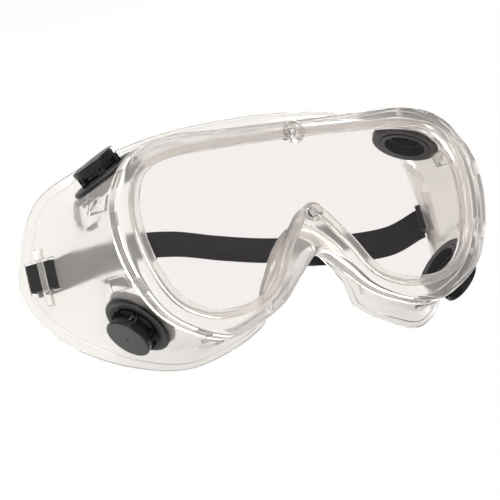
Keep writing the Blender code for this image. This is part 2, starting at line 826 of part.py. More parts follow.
def tail_route(route):
    """The doubled-back end of the strap: it lies in front of the strap, from the lug inwards."""
    path = []
    length = 0
    for point, following in zip(route, route[1:]):
        along = (following - point).normalized()
        front = Vector((along.y, -along.x, 0)).normalized()
        if front.y > 0:
            front = -front
        path.append(point + front * (STRAP_THICKNESS + GAP) - Vector((0, 0, TAIL_DROP)))
        length += (following - point).length
        if length > TAIL_LENGTH:
            break
    return path[1:]


def make_strap():
    place = Matrix.Translation(pivot_line())
    route = strap_route()
    ribbon("strap_band", route, webbing, place)
    ribbon("strap_tail_left", tail_route(route), webbing, place)
    ribbon("strap_tail_right", tail_route(route[::-1]), webbing, place)


def build():
    make_body()
    make_lens()
    make_stud("brow", BROW_STUD_RADIUS)
    make_stud("nose", NOSE_STUD_RADIUS)
    for level, name, place in VENTS:
        make_vent(level, name, place)
    for name, side in SIDES:
        make_loop(name, side)
    make_strap()


clear_scene()
goggles = new_collection("splash_goggles")
cutters = new_collection("cutters")
body_additions = new_collection("body_additions")
body_cuts = new_collection("body_cuts")
soft_clear = material("soft_clear_vinyl", (0.9, 0.91, 0.9), 0.25, transmission=0.7)
hard_clear = material("clear_polycarbonate", (0.93, 0.95, 0.96), 0.05, transmission=0.9)
black_plastic = material("black_plastic", (0.02, 0.02, 0.02), 0.4)
webbing = material("black_webbing", (0.025, 0.025, 0.025), 0.85)
mask = bpy.data.objects.new("mask_frame", None)
mask.location = (0, LENS_BACK, LENS_HEIGHT)
goggles.objects.link(mask)
build()
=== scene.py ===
# %% [markdown]
# # Splash goggles
# A soft clear mask holds a flat clear lens. Four black capped vents let air in round corners, and a
# black elastic strap is threaded through a lug at each temple. The lesson goes from the outside in:
# the mask first, because everything else sits on it, then the lens, the vents and the strap.
# The fixed frame is loaded before anything is made, so that each piece can be placed by it.

import json
import math

import bmesh
import bpy
from mathutils import Matrix, Vector
from mathutils.geometry import interpolate_bezier
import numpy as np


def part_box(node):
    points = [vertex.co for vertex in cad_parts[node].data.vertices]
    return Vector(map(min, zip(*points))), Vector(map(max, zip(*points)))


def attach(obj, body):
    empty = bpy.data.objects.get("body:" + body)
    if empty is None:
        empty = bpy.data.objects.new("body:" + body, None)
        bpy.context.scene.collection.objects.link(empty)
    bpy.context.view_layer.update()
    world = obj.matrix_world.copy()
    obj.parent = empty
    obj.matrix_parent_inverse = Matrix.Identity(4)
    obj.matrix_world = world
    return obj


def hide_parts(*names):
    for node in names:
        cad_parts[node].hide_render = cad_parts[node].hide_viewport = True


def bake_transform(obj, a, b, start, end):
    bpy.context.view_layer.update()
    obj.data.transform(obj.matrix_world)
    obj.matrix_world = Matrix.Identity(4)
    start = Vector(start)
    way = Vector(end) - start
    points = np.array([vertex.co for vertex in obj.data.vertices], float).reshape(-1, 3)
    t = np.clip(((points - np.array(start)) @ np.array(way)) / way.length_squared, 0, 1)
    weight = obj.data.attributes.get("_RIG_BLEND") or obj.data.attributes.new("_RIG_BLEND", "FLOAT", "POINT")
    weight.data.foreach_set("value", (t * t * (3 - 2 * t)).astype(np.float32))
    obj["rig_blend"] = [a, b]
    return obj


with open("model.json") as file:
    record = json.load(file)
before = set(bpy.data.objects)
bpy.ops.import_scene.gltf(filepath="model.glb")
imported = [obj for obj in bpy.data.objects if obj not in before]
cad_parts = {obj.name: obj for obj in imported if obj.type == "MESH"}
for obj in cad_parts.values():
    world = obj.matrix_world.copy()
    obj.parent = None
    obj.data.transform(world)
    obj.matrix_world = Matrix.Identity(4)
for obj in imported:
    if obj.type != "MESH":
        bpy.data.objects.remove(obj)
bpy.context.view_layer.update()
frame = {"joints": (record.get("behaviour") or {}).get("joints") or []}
MM = 0.001
GAP = 0.3 * MM

# %% [markdown]
# The lens is the flattest and best known piece, so its middle plane and middle height place the rest.
# Its box gives both: the plane is half way through it, and the widest line of the opening is a known
# distance above its lowest point.

# %% The lens's place
LENS_LOW, LENS_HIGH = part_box("lens")
OPENING_HALF_WIDTH = 67.4 * MM
OPENING_TOP = 18.3 * MM
OPENING_DROP = 38.0 * MM
GROOVE_DEPTH = 3.2 * MM
LENS_THICKNESS = LENS_HIGH.y - LENS_LOW.y
LENS_EDGE = GROOVE_DEPTH - GAP
CENTRE = Vector((0, (LENS_LOW.y + LENS_HIGH.y) / 2, LENS_HIGH.z - OPENING_TOP - LENS_EDGE))
print("lens middle", [round(value / MM, 2) for value in CENTRE], "mm")

# %% [markdown]
# ## Camera
# The goggles are seen from their right-hand front, from a little below and with the head tilted.
# The camera is placed by three angles round the lens. It then aims a little aside and down, which
# puts the goggles above and to the right of the middle, with no need to shift the lens.

# %% Camera
TURN = math.radians(33.81)
RISE = math.radians(-9.13)
TILT = math.radians(-14.09)
DISTANCE = 848.6 * MM
FOCAL = 173.6  # millimetres, on a 36 mm wide picture
AIM_RIGHT = math.radians(-1.245)
AIM_UP = math.radians(-1.471)


def add_camera():
    toward = Vector((-math.sin(TURN) * math.cos(RISE), -math.cos(TURN) * math.cos(RISE), math.sin(RISE)))
    level = Vector((math.cos(TURN), -math.sin(TURN), 0))
    upright = toward.cross(level)
    right = math.cos(TILT) * level + math.sin(TILT) * upright
    up = -math.sin(TILT) * level + math.cos(TILT) * upright
    turn = Matrix((right, up, toward)).transposed()
    aim = Matrix.Rotation(-AIM_RIGHT, 3, "Y") @ Matrix.Rotation(AIM_UP, 3, "X")
    data = bpy.data.cameras.new("camera")
    data.lens = FOCAL
    data.sensor_width = 36
    data.clip_start = 0.05
    camera = bpy.data.objects.new("camera", data)
    bpy.context.scene.collection.objects.link(camera)
    camera.matrix_world = Matrix.Translation(CENTRE + toward * DISTANCE) @ (turn @ aim).to_4x4()
    bpy.context.scene.camera = camera
    print("camera", [round(value, 3) for value in camera.matrix_world.translation], "m")


add_camera()

# %% [markdown]
# ## Helpers for finishes
# Every finish here is a Principled shader with three things on top: a pattern, a bump made from a
# pattern, and a roughness or a colour that follows one. Each is a helper, so that a finish reads as a
# few lines. Patterns are laid on an object's own coordinates, so they stay on the piece when it moves.

# %% Finish helpers


def new_material(name):
    made = bpy.data.materials.new(name)
    made.use_nodes = True
    return made, made.node_tree, made.node_tree.nodes["Principled BSDF"]


def own_coordinates(tree):
    return tree.nodes.new("ShaderNodeTexCoord").outputs["Object"]


def noise(tree, place, scale, detail=2.0, distortion=0.0):
    made = tree.nodes.new("ShaderNodeTexNoise")
    made.inputs["Scale"].default_value = scale
    made.inputs["Detail"].default_value = detail
    made.inputs["Distortion"].default_value = distortion
    if place:
        tree.links.new(place, made.inputs["Vector"])
    return made.outputs["Fac"]


def add_bump(tree, height, strength, distance):
    bump = tree.nodes.new("ShaderNodeBump")
    bump.inputs["Strength"].default_value = strength
    bump.inputs["Distance"].default_value = distance
    tree.links.new(height, bump.inputs["Height"])
    tree.links.new(bump.outputs["Normal"], tree.nodes["Principled BSDF"].inputs["Normal"])


def vary_roughness(tree, pattern, low, high, start=0.0, end=1.0):
    """Roughness that goes from low to high while the pattern goes from start to end."""
    rough = tree.nodes.new("ShaderNodeMapRange")
    rough.inputs["From Min"].default_value = start
    rough.inputs["From Max"].default_value = end
    rough.inputs["To Min"].default_value = low
    rough.inputs["To Max"].default_value = high
    tree.links.new(pattern, rough.inputs["Value"])
    tree.links.new(rough.outputs["Result"], tree.nodes["Principled BSDF"].inputs["Roughness"])


def vary_colour(tree, pattern, dark, light):
    tone = tree.nodes.new("ShaderNodeValToRGB")
    tone.color_ramp.elements[0].color = (*dark, 1)
    tone.color_ramp.elements[1].color = (*light, 1)
    tree.links.new(pattern, tone.inputs["Fac"])
    tree.links.new(tone.outputs["Color"], tree.nodes["Principled BSDF"].inputs["Base Color"])


# %% [markdown]
# ## Room
# Clear plastic has no colour of its own to speak of: it shows what stands round it, bent. So the room
# matters more than any lamp. It is a white tent with soft bands of grey and violet-grey, one set from
# floor to ceiling and one from side to side. Straight through the goggles one sees white, and every
# edge that bends the light sideways finds a band and draws a line. The two sets are multiplied, so
# either can be changed without the other.

# %% Room
# Each tone is a place along the axis, from one end of the room to the other, and a colour.
UP_AXIS = (0, 0, 1)
UP_TONES = (
    (0, (0.8, 0.79, 0.8)), (0.28, (0.93, 0.93, 0.93)), (0.42, (1, 1, 1)), (0.62, (1, 1, 1)),
    (0.75, (0.68, 0.66, 0.7)), (0.86, (0.93, 0.92, 0.92)), (1, (1, 1, 1)),
)
SIDE_AXIS = (0.83, -0.55, 0)
SIDE_TONES = (
    (0, (0.68, 0.66, 0.64)), (0.2, (1, 1, 1)), (0.78, (1, 1, 1)), (0.9, (0.48, 0.43, 0.6)),
    (1, (0.75, 0.7, 0.7)),
)


def tones_along(tree, axis, tones):
    """The room's colour in each direction, by how far that direction points along the axis."""
    dot = tree.nodes.new("ShaderNodeVectorMath")
    dot.operation = "DOT_PRODUCT"
    dot.inputs[1].default_value = axis
    tree.links.new(tree.nodes.new("ShaderNodeTexCoord").outputs["Generated"], dot.inputs[0])
    share = tree.nodes.new("ShaderNodeMapRange")
    share.inputs["From Min"].default_value = -1
    tree.links.new(dot.outputs["Value"], share.inputs["Value"])
    ramp = tree.nodes.new("ShaderNodeValToRGB")
    while len(ramp.color_ramp.elements) < len(tones):
        ramp.color_ramp.elements.new(0.5)
    for element, (place, colour) in zip(ramp.color_ramp.elements, tones):
        element.position = place
        element.color = (*colour, 1)
    tree.links.new(share.outputs["Result"], ramp.inputs["Fac"])
    return ramp.outputs["Color"]


def add_room():
    world = bpy.data.worlds.new("tent")
    world.use_nodes = True
    tree = world.node_tree
    both = tree.nodes.new("ShaderNodeMix")
    both.data_type = "RGBA"
    both.blend_type = "MULTIPLY"
    both.inputs["Factor"].default_value = 1
    tree.links.new(tones_along(tree, UP_AXIS, UP_TONES), both.inputs["A"])
    tree.links.new(tones_along(tree, SIDE_AXIS, SIDE_TONES), both.inputs["B"])
    tree.links.new(both.outputs["Result"], tree.nodes["Background"].inputs["Color"])
    bpy.context.scene.world = world
    bpy.context.scene.view_settings.view_transform = "Standard"
    print("room of", len(UP_TONES), "and", len(SIDE_TONES), "tones")


add_room()

# %% [markdown]
# ## Floor
# The floor is a pale matt sheet with a faint cloudiness. The camera looks up from just under its
# level, so its underside lets everything through.

# %% Floor
FLOOR_HALF_SIZE = 1.5
FLOOR_DROP = 0.5 * MM


def floor_material():
    made, tree, shader = new_material("pale_floor")
    shader.inputs["Roughness"].default_value = 0.6
    vary_colour(tree, noise(tree, None, 9), (0.80, 0.80, 0.79), (0.86, 0.86, 0.85))
    choose = tree.nodes.new("ShaderNodeMixShader")
    tree.links.new(tree.nodes.new("ShaderNodeNewGeometry").outputs["Backfacing"], choose.inputs["Fac"])
    tree.links.new(shader.outputs["BSDF"], choose.inputs[1])
    tree.links.new(tree.nodes.new("ShaderNodeBsdfTransparent").outputs["BSDF"], choose.inputs[2])
    tree.links.new(choose.outputs["Shader"], tree.nodes["Material Output"].inputs["Surface"])
    return made


def add_floor():
    bm = bmesh.new()
    bmesh.ops.create_grid(bm, x_segments=1, y_segments=1, size=FLOOR_HALF_SIZE)
    mesh = bpy.data.meshes.new("floor")
    bm.to_mesh(mesh)
    bm.free()
    floor = bpy.data.objects.new("floor", mesh)
    bpy.context.scene.collection.objects.link(floor)
    mesh.transform(Matrix.Translation((0, 0, -FLOOR_DROP)))
    mesh.materials.append(floor_material())
    print("floor", 2 * FLOOR_HALF_SIZE, "m across")


add_floor()

# %% [markdown]
# ## Lamps
# Two long soft lamps give the bright strokes on the rim and the vents. One stands over the front and
# one is behind the wearer's left, where it slides along the edges of the flange.

# %% Lamps


def add_lamp(name, place, size, power, aim=CENTRE):
    data = bpy.data.lights.new(name, "AREA")
    data.shape = "RECTANGLE"
    data.size, data.size_y = size
    data.energy = power
    lamp = bpy.data.objects.new(name, data)
    bpy.context.scene.collection.objects.link(lamp)
    lamp.location = place
    lamp.rotation_euler = (Vector(aim) - Vector(place)).to_track_quat("-Z", "Y").to_euler()
    print(name, power, "W at", round((Vector(aim) - Vector(place)).length, 2), "m")


add_lamp("key_lamp", (-0.5, -0.75, 0.75), (0.5, 0.2), 9)
add_lamp("edge_lamp", (0.7, 0.35, 0.5), (0.2, 0.6), 5)

# %% [markdown]
# ## The mask's outlines
# Moulded soft goods are drawn as a few outlines, one behind the other: the opening in front, the rim
# round it, and the face flange, which bends back to the temples. Each is a short list of shares of
# its own half width and height, run through by a smooth curve. A list of shares keeps the shape when
# the size changes.

# %% Outlines
OPENING_SHAPE = (
    (0, 1), (0.40, 0.985), (0.73, 0.915), (0.911, 0.69), (0.99, 0.185), (1, -0.216), (0.958, -0.56),
    (0.875, -0.822), (0.746, -0.962), (0.617, -1), (0.473, -0.967), (0.324, -0.82), (0.194, -0.489),
    (0, -0.155),
)
RIM_SHAPE = (
    (0, 1), (0.38, 1), (0.68, 0.99), (0.865, 0.76), (0.98, 0.24), (1, -0.17), (0.962, -0.47),
    (0.875, -0.735), (0.745, -0.9), (0.58, -1), (0.42, -0.955), (0.255, -0.83), (0.127, -0.645),
    (0, -0.5),
)
FACE_SHAPE = (
    (0, 1), (0.333, 0.972), (0.556, 0.898), (0.744, 0.76), (0.906, 0.477), (1, -0.15), (0.978, -0.423),
    (0.894, -0.677), (0.756, -0.88), (0.578, -1), (0.411, -0.968), (0.222, -0.823), (0.167, -0.6),
    (0, -0.3),
)
# Share of the face depth, width in millimetres, and share of the face depth that the root is in front.
FLANGE_SHAPE = (
    (0.34, 3.5, 0.04), (0.4, 3.5, 0.04), (0.54, 4, 0.05), (0.72, 6.5, 0.075), (0.89, 10.5, 0.18),
    (1, 11.5, 0.21), (0.975, 10.5, 0.19), (0.83, 8, 0.13), (0.635, 6, 0.085), (0.455, 5, 0.05),
    (0.34, 5, 0.04), (0.275, 4, 0.04), (0.255, 3.6, 0.04), (0.255, 3.6, 0.04),
)
RIM_SIDE, RIM_TOP, RIM_BOTTOM = 9.2 * MM, 6.3 * MM, 9.5 * MM
FLARE_SIDE, FLARE_TOP, FLARE_BOTTOM = 13.4 * MM, 8.0 * MM, 5.7 * MM
FACE_DEPTH = 52.8 * MM
STEPS = 9  # pieces between two outline points


def smooth_loop(points, steps=STEPS):
    """A closed smooth curve through the points."""
    count = len(points)
    curve = []
    for i in range(count):
        before, start, end, after = (points[(i + k) % count] for k in (-1, 0, 1, 2))
        handles = start + (end - before) / 6, end - (after - start) / 6
        curve += interpolate_bezier(start, *handles, end, steps + 1)[:-1]
    return curve


def whole(half):
    """Both halves of a shape that is the same left and right."""
    return half + [Vector((-point.x, point.y, point.z)) for point in half[-2:0:-1]]


def outline(shape, half_width, top, drop):
    half = [Vector((across * half_width, 0, up * (top if up > 0 else drop))) for across, up in shape]
    return smooth_loop(whole(half))


def spread(values):
    """One value all the way round, from one value at each point of the half shape."""
    return [point.z for point in smooth_loop(whole([Vector((0, 0, value)) for value in values]))]


def outward(points):
    normals = []
    for i, _ in enumerate(points):
        along = points[(i + 1) % len(points)] - points[i - 1]
        normals.append(Vector((-along.z, 0, along.x)).normalized())
    return normals


def grown(points, distance, back):
    moved = []
    for point, normal in zip(points, outward(points)):
        moved.append(Vector((point.x, back, point.z)) + normal * distance)
    return moved


OPENING = outline(OPENING_SHAPE, OPENING_HALF_WIDTH, OPENING_TOP, OPENING_DROP)
RIM_HALF_WIDTH = OPENING_HALF_WIDTH + RIM_SIDE
RIM = outline(RIM_SHAPE, RIM_HALF_WIDTH, OPENING_TOP + RIM_TOP, OPENING_DROP + RIM_BOTTOM)
FACE = outline(
    FACE_SHAPE,
    RIM_HALF_WIDTH + FLARE_SIDE,
    OPENING_TOP + RIM_TOP + FLARE_TOP,
    OPENING_DROP + RIM_BOTTOM + FLARE_BOTTOM,
)
COUNT = len(RIM)
print("outlines of", COUNT, "points")

# %% [markdown]
# The flange's edge follows the face: shallow over the brow and nose, deep at the temples. Its root,
# where the wall meets it, is worked out from the edge. The soft skin bends there without getting
# thicker, so the line behind it is where the wall's and the flange's back faces cross.

# %% The flange's lines
RIM_DEPTH = 5.0 * MM
RIM_STEP = 1.2 * MM
WALL = 1.8 * MM
FLANGE = 1.6 * MM
LIP_THICKNESS = 1.5 * MM
LIP_FLAT = 2.2 * MM


def face_rings():
    depth, width, root_forward = (spread(column) for column in zip(*FLANGE_SHAPE))
    edge, root = [], []
    for i, (point, normal) in enumerate(zip(FACE, outward(FACE))):
        edge.append(point + Vector((0, depth[i] * FACE_DEPTH, 0)))
        root.append(edge[i] - normal * width[i] * MM - Vector((0, root_forward[i] * FACE_DEPTH, 0)))
    return edge, root


EDGE, ROOT = face_rings()
WALL_START = grown(RIM, -RIM_STEP, RIM_DEPTH + RIM_STEP / 2)


def square_to(direction, toward):
    return (direction - toward * direction.dot(toward)).normalized()


def back_rings():
    """The flange's back edge, and the corner behind its root."""
    edge, corner = [], []
    for start, root, rim, normal in zip(WALL_START, ROOT, EDGE, outward(FACE)):
        wall, flange = (root - start).normalized(), (rim - root).normalized()
        inward, back = square_to(-normal, wall), square_to(Vector((0, 1, 0)), flange)
        edge.append(rim + back * FLANGE)
        corner.append(root + (inward * WALL + back * FLANGE) / (1 + inward.dot(back)))
    return edge, corner


EDGE_BACK, CORNER = back_rings()

# %% [markdown]
# ## Where the vents sit
# Each vent's own box is tilted, so its place is worked out again from the wall it sits on. The cap's
# slide direction in the record is the vent's axis, and each one is printed.

# %% Vent places
UPPER, LOWER = "upper", "lower"
SIDES = (("left", -1), ("right", 1))
VENT_SHAPE = {UPPER: (3, 21.0, 29, 1.0), LOWER: (22 / 3, 19.2, 131, 1.6)}  # point, back, lean, sink
VENT_RADIUS = 12.5 * MM
PAD_MARGIN = 1.0 * MM
PAD_BLEND = 3.6 * MM


def vent_place(level, side):
    point, back, lean, sink = VENT_SHAPE[level]
    start, root = WALL_START[round(point * STEPS)], ROOT[round(point * STEPS)]
    centre = start.lerp(root, (back * MM - start.y) / (root.y - start.y))
    lean = math.radians(lean)
    centre -= Vector((math.sin(lean), 0, math.cos(lean))) * sink * MM
    centre.x *= side
    return Matrix.Translation(centre) @ Matrix.Rotation(lean * side, 4, "Y")


VENTS = [(level, name, vent_place(level, side)) for level in (UPPER, LOWER) for name, side in SIDES]


def with_pads(point, depth):
    """The wall point, pressed onto the flat seat of any vent near it."""
    for _, _, place in VENTS:
        local = place.inverted() @ point
        if abs(local.z) > VENT_RADIUS:
            continue
        past_pad = math.hypot(local.x, local.y) - VENT_RADIUS - PAD_MARGIN
        share = 1 - min(max(past_pad / PAD_BLEND, 0), 1)
        share = share * share * (3 - 2 * share)
        local.z += (-depth - local.z) * share
        point = place @ local
    return point


for joint in frame["joints"]:
    if joint["name"].startswith("cap_slide"):
        print(joint["name"], [round(value, 3) for value in joint["axis"]])

# %% [markdown]
# ## Helpers for pieces
# A finished piece sits at the origin with its place in its mesh. The mask's frame is the middle of
# the lens, so every mesh made there is moved once, by that.

# %% Helpers
TO_WORLD = Matrix.Translation(CENTRE)


def finish_mesh(bm, name, weld=0.01 * MM):
    if weld:
        bmesh.ops.remove_doubles(bm, verts=bm.verts, dist=weld)
    bmesh.ops.recalc_face_normals(bm, faces=bm.faces)
    mesh = bpy.data.meshes.new(name)
    bm.to_mesh(mesh)
    bm.free()
    return mesh


def evaluated(mesh, *settings):
    """The mesh as its modifiers leave it. Each setting is a modifier's type and its values."""
    holder = bpy.data.objects.new("holder", mesh)
    bpy.context.scene.collection.objects.link(holder)
    for kind, values in settings:
        modifier = holder.modifiers.new(kind.lower(), kind)
        for name, value in values.items():
            setattr(modifier, name, value)
    bpy.context.view_layer.update()
    made = bpy.data.meshes.new_from_object(holder.evaluated_get(bpy.context.evaluated_depsgraph_get()))
    bpy.data.objects.remove(holder)
    return made


def shade(mesh, degrees=32):
    """Smooth shading in which the large faces lead, so that a flat face stays flat up to its rounding."""
    mesh.shade_smooth()
    mesh.set_sharp_from_angle(angle=math.radians(degrees))
    return evaluated(mesh, ("WEIGHTED_NORMAL", {"weight": 90, "keep_sharp": True}))


def add_piece(name, mesh, finish, body, nodes=(), place=None):
    """Puts a finished mesh in the scene, in the world's frame, riding on its body."""
    mesh.transform(TO_WORLD @ place if place else TO_WORLD)
    mesh.materials.clear()
    mesh.materials.append(finish)
    piece = bpy.data.objects.new(name, mesh)
    bpy.context.scene.collection.objects.link(piece)
    if body:
        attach(piece, body)
    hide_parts(*nodes)
    print(name, len(mesh.polygons), "faces")
    return piece


# %% [markdown]
# ## Soft clear vinyl
# The mask is taken to be soft vinyl: clear, slightly milky, and never quite flat. A glass-like
# shader with a little roughness gives the milk, a warm white tints
# what is seen through two or four walls, and a slow wavy bump bends the reflections as soft vinyl
# does. Fine dust-like specks vary the roughness.

# %% Vinyl


def soft_vinyl():
    made, tree, shader = new_material("soft_clear_vinyl")
    shader.inputs["Base Color"].default_value = (0.9, 0.875, 0.832, 1)
    shader.inputs["Transmission Weight"].default_value = 0.87
    shader.inputs["IOR"].default_value = 1.45
    place = own_coordinates(tree)
    add_bump(tree, noise(tree, place, 45, detail=3), 0.25, 0.4 * MM)
    vary_roughness(tree, noise(tree, place, 160, detail=4), 0.07, 0.16, 0.3, 0.75)
    return made


VINYL = soft_vinyl()

# %% [markdown]
# ## The mask body
# The mask is one moulding: a front lip, the rim, a wall that runs back and out and bends into the
# flange, and the same again on the inside, back to the groove that grips the lens. One way is to
# model a surface and thicken it, but the rim and the flange are both thicker than the wall. So one
# ring of edges is pulled through all the stations of the section: each new ring is the last one
# extruded and moved, and the last ring is bridged to the first. A fine line runs round the real
# flange a little inside its edge. It is made as a shallow groove, though it could be a low ridge.

# %% The mask's skin
WALL_RINGS = 9
BEND_RINGS = 6
BEND_START = 0.72  # along the wall
BEND_END = 0.5  # along the flange
BEAD = 4.2 * MM  # from the flange's edge to the bead
BEAD_HALF_WIDTH = 0.35 * MM
BEAD_SINK = 0.32 * MM
BEAD_LIMIT = 0.45  # of the flange's width, where it is narrow
FRONT = -LENS_THICKNESS / 2 - GAP - LIP_THICKNESS
GROOVE = LENS_THICKNESS / 2 + GAP


def softened(start, corner, end, share):
    """A point on the rounded way from start to end, past a corner."""
    first, second = start.lerp(corner, share), corner.lerp(end, share)
    return first.lerp(second, share)


def wall_and_bend(start, corner, end, depth):
    """The rings from the rim to the flange: the wall, then the bend, which the vents' pads fade into."""
    rings = []
    for k in range(1, WALL_RINGS + 1):
        share = BEND_START * k / WALL_RINGS
        rings.append([with_pads(a.lerp(b, share), depth) for a, b in zip(start, corner)])
    for k in range(1, BEND_RINGS + 1):
        ring, share = [], k / BEND_RINGS
        for a, b, c in zip(start, corner, end):
            point = softened(a.lerp(b, BEND_START), b, b.lerp(c, BEND_END), share)
            ring.append(with_pads(point, depth).lerp(point, share))
        rings.append(ring)
    return rings


def bead_rings():
    """The bead: three rings on the flange's front, the middle one sunk."""
    rings = []
    for aside, sink in ((BEAD_HALF_WIDTH, 0), (0, BEAD_SINK), (-BEAD_HALF_WIDTH, 0)):
        ring = []
        for rim, root, behind in zip(EDGE, ROOT, EDGE_BACK):
            share = min((BEAD + aside) / (root - rim).length, BEAD_LIMIT * (BEAD + aside) / BEAD)
            ring.append(rim.lerp(root, share) + (behind - rim).normalized() * sink)
        rings.append(ring)
    return rings


def mask_rings():
    """The skin's rings in order, each with the radius that its edge is rounded by, in millimetres."""
    inner_start = grown(RIM, -RIM_STEP - WALL, RIM_DEPTH + RIM_STEP / 2)
    outer = wall_and_bend(WALL_START, ROOT, EDGE, 0)
    inner = wall_and_bend(inner_start, CORNER, EDGE_BACK, WALL)
    rings = [
        (grown(OPENING, 0, FRONT), 0.5),
        (grown(OPENING, LIP_FLAT, FRONT), 0),
        (grown(RIM, 0, FRONT), 1.9),
        (grown(RIM, 0, RIM_DEPTH - RIM_STEP / 2), 0.5),
        (WALL_START, 0.5),
    ]
    rings += [(ring, 0) for ring in outer]
    rings += [(ring, 0) for ring in bead_rings()]
    rings += [(EDGE, 0.5), (EDGE_BACK, 0.5)]
    rings += [(ring, 0) for ring in reversed(inner)]
    rings += [
        (inner_start, 0.5),
        (grown(OPENING, WALL / 3, RIM_DEPTH - RIM_STEP / 2), 0.5),
        (grown(OPENING, WALL / 3, GROOVE), 0.2),
        (grown(OPENING, GROOVE_DEPTH, GROOVE), 0),
        (grown(OPENING, GROOVE_DEPTH, -GROOVE), 0),
        (grown(OPENING, 0, -GROOVE), 0.2),
    ]
    return rings


def pull_through(bm, rings):
    """Extrudes one loop of edges through all the rings and joins the last to the first."""
    place = bm.verts.layers.int.new("place")
    verts = [bm.verts.new(point) for point in rings[0][0]]
    first = [bm.edges.new((verts[i - 1], verts[i])) for i in range(len(verts))]
    for i, vert in enumerate(verts):
        vert[place] = i
    loops = [first]
    for points, _ in rings[1:]:
        made = bmesh.ops.extrude_edge_only(bm, edges=loops[-1])["geom"]
        fresh = {item for item in made if isinstance(item, bmesh.types.BMVert)}
        for vert in fresh:
            vert.co = points[vert[place]]
        edges = [item for item in made if isinstance(item, bmesh.types.BMEdge)]
        loops.append([edge for edge in edges if set(edge.verts) <= fresh])
    bmesh.ops.bridge_loops(bm, edges=loops[-1] + loops[0])
    return loops


def mask_skin():
    rings = mask_rings()
    bm = bmesh.new()
    loops = pull_through(bm, rings)
    bmesh.ops.recalc_face_normals(bm, faces=bm.faces)
    for radius in sorted({radius for _, radius in rings if radius}, reverse=True):
        edges = []
        for loop, (_, its_radius) in zip(loops, rings):
            if its_radius == radius:
                edges += [edge for edge in loop if edge.is_valid]
        bmesh.ops.bevel(
            bm, geom=edges, offset=radius * MM, offset_type="OFFSET", affect="EDGES",
            segments=4 if radius > 1 else 3, profile=0.5, material=-1, clamp_overlap=True,
        )
    return finish_mesh(bm, "mask_body", weld=0)


SKIN = mask_skin()
print("mask skin", len(SKIN.polygons), "faces")

# %% [markdown]
# ## What is moulded onto the mask, and what is cut from it
# The strap is held by a bridge in front of the flange at each temple, between two slots. Low tabs
# stand on the wall behind the rim, probably to pull it open by. The vents need round holes and the
# two studs need small ones. The real rim has short pale and dark patches along it. Shallow pockets in
# its outer side stand for whatever makes them, since their true shape can't be told. All the
# additions are joined in one exact step and all the cuts are made in another, because one step at a
# time leaves slivers.

# %% Lug and tab sizes
GRIP_TABS = ((4, 13, 2.8), (6, 10, 2.6), (9, 4, 4))  # outline point, length, half width
LUG_POINT = 5
LUG_DROP = 9.2 * MM
STRAP_WIDTH = 9.6 * MM
STRAP_THICKNESS = 1.1 * MM
STRAP_INNER = FLANGE / 2 + 0.35 * MM
STRAP_OUTER = STRAP_INNER + STRAP_THICKNESS
SLOT_HALF_HEIGHT = STRAP_WIDTH / 2 + 1 * MM
LUG_BAR = 2 * MM
LUG_BAR_DEEP = 0.8  # of its width
TAB_HEIGHT = 1 * MM
TAB_START = 1 * MM
LUG_BAR_START = 4.9 * MM
LUG_UPPER_ARM = 3.4 * MM
LUG_LOWER_ARM = 5.2 * MM
LUG_FRONT = STRAP_OUTER + 0.35 * MM + LUG_BAR
SLOTS = (1.4 * MM, 10.2 * MM)
SLOT_WIDTH = 2.5 * MM


def lug_place():
    """The right lug's frame: X out along the flange, Y to the back, Z up."""
    index = LUG_POINT * STEPS
    root, edge = ROOT[index], EDGE[index]
    along = Vector((edge.x - root.x, edge.y - root.y, 0)).normalized()
    turn = Matrix((along, Vector((-along.y, along.x, 0)), Vector((0, 0, 1)))).transposed().to_4x4()
    middle = root + Vector((-along.y, along.x, 0)) * FLANGE / 2
    return Matrix.Translation((middle.x, middle.y, -LUG_DROP)) @ turn


LUG = lug_place()
MIRROR = Matrix.Scale(-1, 4, (1, 0, 0))


def block(bm, low, high, place, rounding=0.0):
    """A box between two corners, with its edges rounded, in both its place and its mirror place."""
    low, high = Vector(low), Vector(high)
    for turned in (place, MIRROR @ place):
        made = bmesh.ops.create_cube(bm, size=1)["verts"]
        bmesh.ops.scale(bm, vec=high - low, verts=made)
        bmesh.ops.translate(bm, vec=(low + high) / 2, verts=made)
        if rounding:
            edges = {edge for vert in made for edge in vert.link_edges}
            out = bmesh.ops.bevel(
                bm, geom=list(edges), offset=rounding, affect="EDGES", segments=2, profile=0.5,
                material=-1, clamp_overlap=True,
            )
            made = list({vert for face in out["faces"] for vert in face.verts})
        bmesh.ops.transform(bm, matrix=turned, verts=made)


# %% [markdown]
# A lug's bridge is a bent strip. It could be three boxes, but one flat face with the strip's outline,
# pulled to the bar's width, has no seams to join. The tabs are boxes with rounded edges, sunk half
# way into the wall so that the join is a clean one.

# %% Added shapes


def bridge_section(bm, place):
    """The bent strip that stands in front of the flange, pulled out of one flat face."""
    gap = SLOT_HALF_HEIGHT
    top, bottom = gap + LUG_UPPER_ARM, -gap - LUG_LOWER_ARM
    bar_back = LUG_BAR * LUG_BAR_DEEP - LUG_FRONT
    corners = (
        (0, bottom), (-LUG_FRONT, bottom), (-LUG_FRONT, top), (0, top),
        (0, gap), (bar_back, gap), (bar_back, -gap), (0, -gap),
    )
    verts = [bm.verts.new((LUG_BAR_START, y, z)) for y, z in corners]
    face = bm.faces.new(verts)
    made = bmesh.ops.extrude_face_region(bm, geom=[face])["geom"]
    end = [item for item in made if isinstance(item, bmesh.types.BMVert)]
    bmesh.ops.translate(bm, vec=(LUG_BAR, 0, 0), verts=end)
    bmesh.ops.transform(bm, matrix=place, verts=verts + end)


def tab_place(point):
    index = round(point * STEPS)
    along = (ROOT[index] - WALL_START[index]).normalized()
    up = along.cross(outward(RIM)[index]).normalized()
    turn = Matrix((up.cross(along), along, up)).transposed().to_4x4()
    return Matrix.Translation(WALL_START[index]) @ turn


